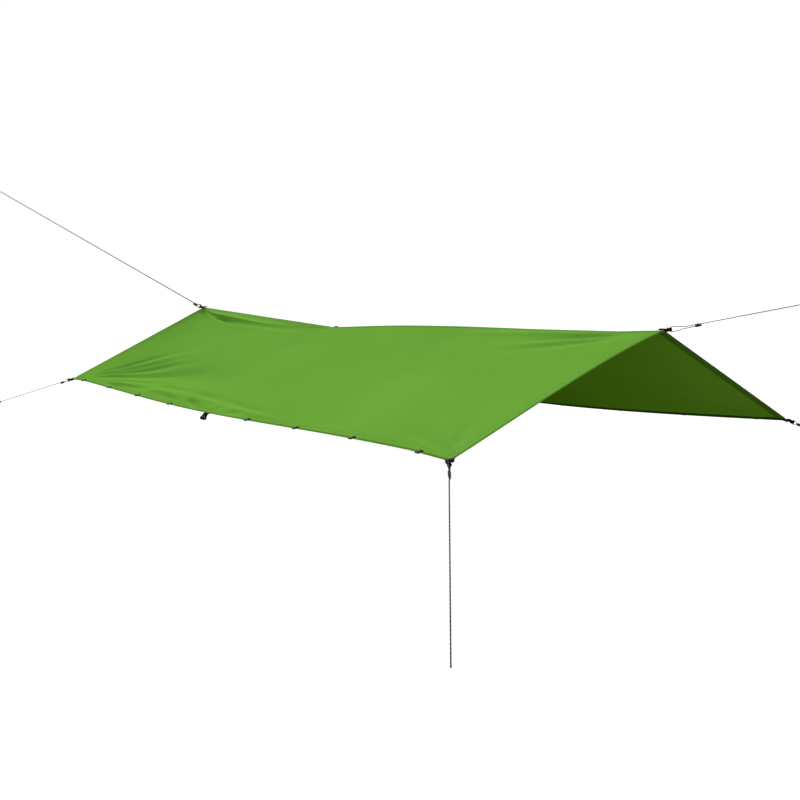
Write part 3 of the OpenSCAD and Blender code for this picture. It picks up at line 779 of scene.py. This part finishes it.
# Hems and the ridge seam: a doubled layer whose middle stands a little proud between its
# rows of stitches, and a rolled edge where the cloth turns over.
STITCH_PITCH = 4.6 * MM
STITCH_LENGTH = 3.6 * MM
THREAD_RADIUS = 0.24 * MM
ROW_AT_EDGE = 3 * MM
ROW_INSIDE = 22 * MM
FOLD_THICKNESS = 0.8 * MM
FOLD_PUFF = 0.7 * MM
ROW_PINCH, EDGE_PINCH = 2.2 * MM, 1.5 * MM
ROLL_RADIUS = 1.15 * MM
EDGE_STEP = 8 * MM


def hem(name, nodes, along_eave, side, inner=HEM_INNER):
    """One hem on the underside. It lies along an eave, where side is the sign of s, or
    along an end of the cloth, where side is the sign of t seen from the middle."""
    distance = np.linspace(0, HEM, 11)
    rows = ((ROW_AT_EDGE, ROW_PINCH), (ROW_INSIDE, ROW_PINCH), (0, EDGE_PINCH))
    pinch = sum(np.exp(-np.square((distance - row) / reach)) for row, reach in rows)
    if along_eave:
        run = lines_between(0, 1, EDGE_STEP / LENGTH)
        t, s = np.meshgrid(run, side * (1 - distance / HALF_WIDTH), indexing="ij")
        edge = cloth(run, side)
        rolls = [(edge, 0 if side < 0 else 1)]
    else:
        run = lines_between(HEM_S - 1, 1 - HEM_S, EDGE_STEP / HALF_WIDTH)
        place = distance / LENGTH
        s, t = np.meshgrid(run, 1 - place if side > 0 else place, indexing="ij")
        edge = cloth(1 if side > 0 else 0, run)
        ridge = int(np.searchsorted(run, 0.0))
        rolls = [(edge[: ridge + 1], 0), (edge[ridge:], 1)]
    parts = Parts()
    puff = FOLD_PUFF * np.clip(1 - pinch, 0, 1) + 0 * t
    low = -(HALF_CLOTH + FOLD_THICKNESS + puff)
    add_sheet(parts, t, s, np.full_like(t, -HALF_CLOTH - 0.02 * MM), low, (1, 1, 1))
    # The rolled edge shows the outer face on the front panel and the inner one on the back
    for line, slot in rolls:
        closed_tube(parts, line, ROLL_RADIUS, UP, slot=slot)
    made = parts.build(name, [HEM_OUTER, inner], CLOTH_UV)
    return belongs(made, "canopy", "hem", *nodes)


hem_pieces = [
    hem("front_eave_hem", ["front_hem"], True, -1),
    hem("back_eave_hem", ["back_hem"], True, 1, EAVE_INNER),
    hem("near_end_hem", ["near_hem_front", "near_hem_back"], False, 1),
    hem("far_end_hem", ["far_hem_front", "far_hem_back"], False, -1),
]


# Across the seam: millimetres from the ridge, and how far it stands proud there
SEAM_PROFILE = [
    (-10, 0.1), (-9.2, 0.5), (-7.5, 0.35), (-4, 0.8), (-1.5, 1.0),
    (1.5, 1.0), (4, 0.8), (7.5, 0.35), (9.2, 0.5), (10, 0.1),
]
SEAM_ROW = 7.5 * MM


def ridge_seam():
    """The felled seam over the ridge."""
    ts = lines_between(0, 1, EDGE_STEP / LENGTH)
    distance, proud = np.array(SEAM_PROFILE).T * MM
    t, s = np.meshgrid(ts, distance / HALF_WIDTH, indexing="ij")
    middle, normal = cloth_and_normal(t, s)
    top = middle + normal * column(HALF_CLOTH + proud + 0 * t)
    low = middle + normal * (HALF_CLOTH - 0.2 * MM)
    rings = np.concatenate([top, low[:, ::-1]], axis=1)
    parts = Parts()
    us = np.concatenate([distance, distance[::-1], distance[:1]])
    swept(parts, rings[:, ::-1], (us, ts * LENGTH))
    made = parts.build("ridge_seam_fold", [HEM_OUTER], CLOTH_UV)
    return belongs(made, "canopy", "hem", "ridge_seam")


seam_piece = ridge_seam()

STITCH_SHAPE = ((-0.5, 0.0), (-0.25, 1.0), (0.25, 1.0), (0.5, 0.0))  # along it, and its rise
STITCH_SIDES = 5


def stitch_row(parts, t, s, height):
    """Stitches along a row of places on the cloth, given closely, at a height over its middle.
    Each is a short thread that rises out of the cloth and dips back in."""
    middle, normal = cloth_and_normal(t, s)
    distance = distances(middle)
    at = np.arange(STITCH_PITCH / 2, distance[-1] - STITCH_PITCH / 2, STITCH_PITCH)
    centre, up, along = (
        np.stack([np.interp(at, distance, values[:, k]) for k in range(3)], -1)
        for values in (middle, normal, np.gradient(middle, axis=0))
    )
    up, along = unit(up), unit(along)
    centre = centre + up * height
    up = up * (1 if height > 0 else -1)
    across = unit(np.cross(up, along))
    angle = -2 * math.pi * np.arange(STITCH_SIDES) / STITCH_SIDES
    rings = []
    for place, rise in STITCH_SHAPE:
        ring = (centre + along * (place * STITCH_LENGTH))[:, None]
        ring = ring + across[:, None] * column(np.cos(angle) * THREAD_RADIUS)
        high = (np.sin(angle) + rise * 0.9 - 0.45) * THREAD_RADIUS
        rings.append(ring + up[:, None] * column(high))
    for stitch in np.stack(rings, axis=1):
        swept(parts, stitch, (np.zeros(STITCH_SIDES + 1), np.zeros(len(STITCH_SHAPE))))


UNDER_HEM = -(HALF_CLOTH + FOLD_THICKNESS + 0.06 * MM)
OVER_SEAM = HALF_CLOTH + 0.42 * MM
HEM_HEIGHTS = (HALF_CLOTH, UNDER_HEM)


def stitching():
    """Rows of stitches on both faces, along the hems and the ridge seam."""
    ts, ss = np.linspace(0.004, 0.996, 600), np.linspace(-0.992, 0.992, 400)
    on_hem = [(row, height) for row in (ROW_AT_EDGE, ROW_INSIDE) for height in HEM_HEIGHTS]
    rows = {
        "front_eave": [(ts, row / HALF_WIDTH - 1, height) for row, height in on_hem],
        "back_eave": [(ts, 1 - row / HALF_WIDTH, height) for row, height in on_hem],
        "far_end": [(row / LENGTH, ss, height) for row, height in on_hem],
        "near_end": [(1 - row / LENGTH, ss, height) for row, height in on_hem],
        "ridge": [
            (ts, side * SEAM_ROW / HALF_WIDTH, height)
            for side in (-1, 1)
            for height in (OVER_SEAM, -HALF_CLOTH)
        ],
    }
    made = []
    for name, lines in rows.items():
        parts = Parts()
        for line in lines:
            stitch_row(parts, *line)
        made.append(parts.build(name + "_stitching", [GREEN_THREAD], THREAD_UV))
    return [belongs(piece, "canopy", "hem") for piece in made]


stitching_pieces = stitching()


# ---------------------------------------------------------------- webbing and tape
def ribbon(parts, centre, thick_way, width, thickness, distance):
    """A flat tape. centre and thick_way are arrays (station, column, 3) of its middle and of the
    direction through it, for columns across its width."""
    columns = centre.shape[1]
    edge = np.linspace(-1, 1, columns)
    plump = thickness / 2 * (1 - 0.45 * np.abs(edge) ** 8)[None, :, None]
    top = centre + thick_way * plump
    low = centre - thick_way * plump
    rings = np.concatenate([top, low[:, ::-1]], axis=1)
    us = np.concatenate([edge, edge[::-1], edge[:1]]) * width / 2
    middle = columns // 2
    run, across = centre[1, middle] - centre[0, middle], centre[0, middle + 1] - centre[0, middle]
    if np.dot(np.cross(across, run), thick_way[0, middle]) > 0:
        rings = rings[:, ::-1]
        us = us[::-1]
    swept(parts, rings, (us, distance))


TAPE_COLUMNS = 9
CORNER_LAP = 5 * MM
WEBBING_WIDTH, EYE_HEIGHT, MID_WIDTH = 20 * MM, 9 * MM, 25 * MM
HALF_WEBBING = WEBBING_THICKNESS / 2
EYE_RING = EYE_RADIUS + HALF_WEBBING
EYE_ARC = np.radians(np.linspace(90, -90, 17)[1:-1])
TURNED, UPRIGHT = -15 * MM, -6 * MM  # where both layers are still flat, and stand on edge
OPENS, OPENING = -11 * MM, 9 * MM  # where the layers part for the eye, and over how far
LAYER_GAP, MID_LAYER_GAP = 0.1 * MM, 0.05 * MM
UPPER_LEVEL, LOWER_LEVEL = 2.6 * MM, -3.1 * MM  # of the two layers over and under a corner
RIDGE_DRAPE = 1.05 * MM  # how far a layer bends down over the ridge, 10 mm from it
BUNCH = 0.9 * MM
RIDGE_TACKS, CORNER_TACKS, MID_TACKS = (-27.5, -21), (-20.5,), (-11, -5)  # millimetres


def strap(name, place, centre, width, rows, from_below=False):
    """A webbing tie-out given by its middle surface, in its own frame, with its bar tacks."""
    run, sideways = np.gradient(centre, axis=0), np.gradient(centre, axis=1)
    ways = unit(np.cross(run, sideways)) @ place.axes()
    distance = distances(centre[:, TAPE_COLUMNS // 2])
    parts = Parts()
    ribbon(parts, place.on_strap(centre), ways, width, WEBBING_THICKNESS, distance)
    made = parts.build(name + "_webbing", [WEBBING], TAPE_UV)
    belongs(made, "canopy", "webbing", name + "_strap")
    tacks(name + "_webbing_tacks", made, place, width, rows, from_below)


def tie_out(name, place, ridge):
    """A webbing tie-out for a guyline. Its two layers lie flat, above and below a corner or
    both above the ridge, then turn on edge and loop round the eye."""
    upper_lap = STRAP_LAP if ridge else CORNER_LAP
    out_top = np.linspace(-STRAP_REACH - upper_lap, TURNED, 8)
    neck = np.linspace(TURNED, 0, 15)[1:]
    out_low = np.linspace(-STRAP_REACH - STRAP_LAP, TURNED, 10)
    x = [out_top, neck, EYE_RING * np.cos(EYE_ARC), neck[::-1], out_low[::-1]]
    x = column(np.concatenate(x))
    layer = np.ones(len(neck) + len(out_top)), np.sin(EYE_ARC), -np.ones(len(neck) + len(out_low))
    layer = column(np.concatenate(layer))  # 1 for the upper one and -1 for the lower one
    across = np.linspace(-1, 1, TAPE_COLUMNS)
    share = smooth((x - TURNED) / (UPRIGHT - TURNED))
    turn = share * math.pi / 2
    apart = mix(HALF_WEBBING + LAYER_GAP, EYE_RING, smooth((x - OPENS) / OPENING)) * layer
    v = across * mix(WEBBING_WIDTH, EYE_HEIGHT, share) / 2
    u = apart + layer * BUNCH * share * (across**2 - 0.4)
    y = v * np.cos(turn) - u * np.sin(turn)
    z = v * np.sin(turn) + u * np.cos(turn)
    # Flat on the cloth at the root, each layer on its own side of a corner
    if ridge:
        drape = RIDGE_DRAPE * np.square(v / (10 * MM)) * (1 - share)
        flat_z = layer * (HALF_WEBBING + LAYER_GAP) - drape
    else:
        flat_z = np.where(layer > 0, UPPER_LEVEL, LOWER_LEVEL)
    z = mix(flat_z, z, smooth((x - TURNED) / (5 * MM)))
    # Past the cloth it lines up with the guyline
    tilt = math.atan2(np.dot(place.along, place.normal), np.dot(place.along, place.outward))
    lean = tilt * smooth((x - TURNED) / -TURNED)
    centre = [x * np.cos(lean) - z * np.sin(lean), y, x * np.sin(lean) + z * np.cos(lean)]
    rows = RIDGE_TACKS if ridge else CORNER_TACKS
    strap(name, place, np.stack(centre, -1), WEBBING_WIDTH, rows)


def mid_tie_out(name, place):
    """A wide webbing loop sewn under an eave. Past the hem it bends and hangs."""
    hang = STRAP_REACH - MID_BEND
    droop = math.acos(np.dot(place.along, place.outward))
    # The middle line between the two layers, and which way is up from it
    run = np.linspace(-MID_BEND - STRAP_LAP, hang, 61)
    turn = -droop * smooth((run + 1.5 * MM) / (4 * MM))
    step = np.diff(run)[:, None] * np.stack([np.cos(turn), np.sin(turn)], -1)[1:]
    spine = np.concatenate([[(run[0], 0)], step]).cumsum(axis=0)
    up = np.stack([-np.sin(turn), np.cos(turn)], -1)
    opened = smooth((run - hang + OPENING) / OPENING)
    apart = mix(HALF_WEBBING + MID_LAYER_GAP, EYE_RING, opened)[:, None]
    forward = np.array([math.cos(droop), -math.sin(droop)])
    eye = column(np.cos(EYE_ARC)) * forward + column(np.sin(EYE_ARC)) * up[-1]
    eye = spine[-1] + EYE_RING * eye
    profile = np.concatenate([spine + up * apart, eye, (spine - up * apart)[::-1]])
    columns = np.linspace(-1, 1, TAPE_COLUMNS) * MID_WIDTH / 2
    x, z = profile[:, :1] + 0 * columns, profile[:, 1:] + 0 * columns
    centre = np.stack([x, columns + 0 * x, z], -1)
    strap(name, place, centre, MID_WIDTH, MID_TACKS, True)


TACK_PITCH, TACK_WIDTH, TACK_SIDES = 0.45 * MM, 0.9 * MM, 5
TACK_REACH = 30 * MM  # rays for the thread start this far from the webbing


def tacks(name, sewn, place, width, rows, from_below):
    """Bar tacks over a strap's tail: zigzags of black thread, laid on the face that shows."""
    way = -1 if from_below else 1
    tree = BVHTree.FromPolygons(
        [v.co for v in sewn.data.vertices], [tuple(p.vertices) for p in sewn.data.polygons]
    )
    parts = Parts()
    for row in rows:
        line = []
        for k, y in enumerate(np.arange(-0.42 * width, 0.42 * width, TACK_PITCH)):
            x = row * MM + (TACK_WIDTH if k % 2 else -TACK_WIDTH)
            point = place.on_strap([(x, y, way * TACK_REACH)])[0]
            hit = tree.ray_cast(Vector(point), Vector(-way * place.normal), 2 * TACK_REACH)
            if hit[0] is not None:
                line.append(np.array(hit[0]) + place.normal * way * 0.1 * MM)
        closed_tube(parts, np.array(line), 0.25 * MM, place.normal, sides=TACK_SIDES, scale=MM)
    belongs(parts.build(name, [BLACK_THREAD], THREAD_UV), "canopy", "webbing")


for place_name, place in PLACES.items():
    if place_name.endswith("mid"):
        mid_tie_out(place_name, place)
    else:
        tie_out(place_name, place, place_name.endswith("ridge"))


LOOP_NUMBERS = (-4, -3, -2, -1, 1, 2, 3, 4)  # of pitches from the mid tie-out
LOOP_PITCH = 270 * MM
LOOP_WIDTH = 13 * MM
LOOP_COLUMNS = 5
LOOP_LAP = 9 * MM
LOOP_REACH = 8 * MM
LOOP_RING = 1.2 * MM
LOOP_OPENING = 5 * MM
TAPE_THICKNESS = 0.9 * MM
LOOP_BACKING_LENGTH = 11 * MM  # the tape's other end, sewn under the hem
LOOP_BACKING_DROP = HALF_CLOTH + 1.6 * MM
LOOP_TACK_PLACE = -5.6 * MM
LOOP_TACK_HEIGHT = HALF_CLOTH + 2 * TAPE_THICKNESS + 0.6 * MM


def loop_profile():
    """The side view of a loop: out along its upper layer, round, and back along the lower."""
    tail = LOOP_RING - LOOP_LAP - LOOP_REACH
    flat = TAPE_THICKNESS / 2 + 0.03 * MM
    out = np.linspace(tail, -LOOP_OPENING, 12)
    neck = np.linspace(-LOOP_OPENING, 0, 9)[1:]
    swell = mix(flat, LOOP_RING, smooth((neck + LOOP_OPENING) / LOOP_OPENING))
    angle = np.radians(np.linspace(90, -90, 15)[1:-1])
    xs = [out, neck, LOOP_RING * np.cos(angle), neck[::-1], out[::-1]]
    upper = np.concatenate([np.full(12, flat), swell])
    zs = np.concatenate([upper, LOOP_RING * np.sin(angle), -upper[::-1]])
    xs = np.concatenate(xs) + LOOP_REACH - LOOP_RING
    lift = 0.5 * MM + 0.3 * MM * smooth((xs + 6 * MM) / (5 * MM))
    return xs, zs, HALF_CLOTH + TAPE_THICKNESS + lift


def edge_loops(name, node, side):
    """Small loops of tape sewn to the hem along one eave."""
    eave = front_eave_at if side < 0 else back_eave_at
    tape, thread = Parts(), Parts()
    xs, zs, lift = loop_profile()
    flat_distance = distances(np.stack([xs, zs], -1))
    ys = np.linspace(-1, 1, LOOP_COLUMNS) * LOOP_WIDTH / 2
    reach = column(np.linspace(-1, 0, 9) * LOOP_BACKING_LENGTH - 2 * MM)
    k = np.arange(24)
    for number in LOOP_NUMBERS:
        t = MID_T + number * LOOP_PITCH / LENGTH
        origin, inner = cloth(np.array([t, t]), side * np.array([1, 1 - HEM_S]))
        along = unit(np.subtract(*eave(np.array([t + 0.01, t - 0.01]))))
        outward = unit(origin - inner)
        up = unit(np.cross(outward, along) * -side)

        profile = origin + outward * column(xs) + up * column(zs + lift)
        way = unit(np.cross(np.gradient(profile, axis=0), along))
        way = way[:, None].repeat(LOOP_COLUMNS, axis=1)
        centre = profile[:, None] + along * column(ys)
        ribbon(tape, centre, way, LOOP_WIDTH, TAPE_THICKNESS, flat_distance)

        zigzag = LOOP_TACK_PLACE + np.where(k % 2, 0.8, -0.8) * MM
        line = origin + outward * column(zigzag) + along * column((k - 11.5) * 0.44 * MM)
        line = line + up * LOOP_TACK_HEIGHT
        closed_tube(thread, line, 0.22 * MM, up, sides=TACK_SIDES, scale=MM)

        under = origin + outward * reach - up * LOOP_BACKING_DROP
        backing = under[:, None] + along * column(ys)
        down = np.broadcast_to(-up, backing.shape)
        ribbon(tape, backing, down, LOOP_WIDTH, TAPE_THICKNESS, reach[:, 0])
    belongs(tape.build(name, [TAPE], TAPE_UV), "canopy", "webbing", node)
    belongs(thread.build(name + "_tacks", [BLACK_THREAD], THREAD_UV), "canopy", "webbing")


edge_loops("front_loops", "front_edge_loops", -1)
edge_loops("back_loops", "back_edge_loops", 1)


# ---------------------------------------------------------------- tensioners
# Millimetres, as in the routes
CORNER_ROUND = 0.9
GROOVES, GROOVE_REACH, GROOVE_DEPTH = (-2.6, 2.6), 0.95, 0.75
CUTTER_SIDES = 32
CUTTER_SPARE = 2
SHARP_EDGE = math.radians(38)


def make_tensioner(g):
    """A moulded bar with a bore for each strand, rounded ends and two finger grooves a side."""
    place = g.place
    stations = np.linspace(0, 1, 29)
    angle = np.radians(np.linspace(-90, 90, 13))
    rings = []
    for share in stations:
        from_end = min(min(share, 1 - share) * TENSIONER_LENGTH, CORNER_ROUND)
        inset = CORNER_ROUND * (1 - math.sqrt(max(0.0, 1 - (1 - from_end / CORNER_ROUND) ** 2)))
        # Across the line it is a stadium, drawn in by inset
        radius = g.bore + TENSIONER_WALL - inset
        right = np.stack([g.gap / 2 + radius * np.cos(angle), radius * np.sin(angle)], -1)
        section = np.concatenate([right, -right])
        from_middle = (share - 0.5) * TENSIONER_LENGTH
        groove = sum(math.exp(-(((from_middle - at) / GROOVE_REACH) ** 2)) for at in GROOVES)
        edge = smooth((np.abs(section[:, 0]) - g.gap / 2) / (g.bore + TENSIONER_WALL))
        drawn_in = np.sign(section[:, 0]) * edge * groove * GROOVE_DEPTH
        across = section[:, 0] - drawn_in - g.gap / 2
        along = np.full(len(section), g.start + share * TENSIONER_LENGTH)
        ring = place.on_line(np.stack([along, across], -1))
        rings.append(ring - section[:, 1:] * MM * place.across)
    parts = Parts()
    swept(parts, np.array(rings), (np.linspace(0, 1, 27), stations))
    body = parts.build(g.name + "_slider", [PLASTIC], "plain")
    cutters = []
    for across in (0, -g.gap):
        parts = Parts()
        stretch = np.linspace(-CUTTER_SPARE, TENSIONER_LENGTH + CUTTER_SPARE, 3)
        line = place.on_line([(g.start + x, across) for x in stretch])
        closed_tube(parts, line, g.bore * MM, place.across, sides=CUTTER_SIDES)
        cutters.append(parts.build(g.name + "_cutter", [PLASTIC], "plain"))
        cut = body.modifiers.new("bore", "BOOLEAN")
        cut.object, cut.solver = cutters[-1], "EXACT"
    bpy.context.view_layer.update()
    evaluated = body.evaluated_get(bpy.context.evaluated_depsgraph_get())
    drilled = bpy.data.meshes.new_from_object(evaluated)
    body.modifiers.clear()
    body.data = drilled
    for cutter in cutters:
        bpy.data.objects.remove(cutter)
    drilled.polygons.foreach_set("use_smooth", np.ones(len(drilled.polygons), bool))
    drilled.set_sharp_from_angle(angle=SHARP_EDGE)
    belongs(body, g.name + "_adjuster", "tensioner", g.name + "_tensioner")


for guyline in GUYLINES:
    make_tensioner(guyline)

# ---------------------------------------------------------------- stage
GROUND = -0.545
HALF_FLOOR = 14.0
WHITE = (1, 1, 1, 1)
SUN_TRAVEL, SUN_STRENGTH = Vector((0.66, -0.42, -0.62)), 6.8
SUN_SOFTNESS = math.radians(8)

floor_nodes = Nodes("floor")
floor_nodes.surface((0.05, 0.05, 0.05, 1), 0.9, None, 0)
floor_nodes.feed(floor_nodes.shader, {"Emission Color": WHITE, "Emission Strength": 1.0})
corners = np.array([(-1, -1), (1, -1), (1, 1), (-1, 1)])
floor = Parts()
points = [(HALF_FLOOR * x, HALF_FLOOR * y, GROUND) for x, y in corners]
floor.add(points, [(0, 1, 2, 3)], corners)
floor.build("floor", [floor_nodes.material], "plain")
world = bpy.data.worlds.new("studio")
world.use_nodes = True
background = world.node_tree.nodes["Background"]
background.inputs["Color"].default_value = WHITE
background.inputs["Strength"].default_value = 1.0
bpy.context.scene.world = world
bpy.context.scene.view_settings.view_transform = "Standard"
sun_data = bpy.data.lights.new("key", "SUN")
sun_data.energy, sun_data.angle = SUN_STRENGTH, SUN_SOFTNESS
sun = bpy.data.objects.new("key", sun_data)
sun.rotation_euler = SUN_TRAVEL.to_track_quat("-Z", "Y").to_euler()
bpy.context.scene.collection.objects.link(sun)
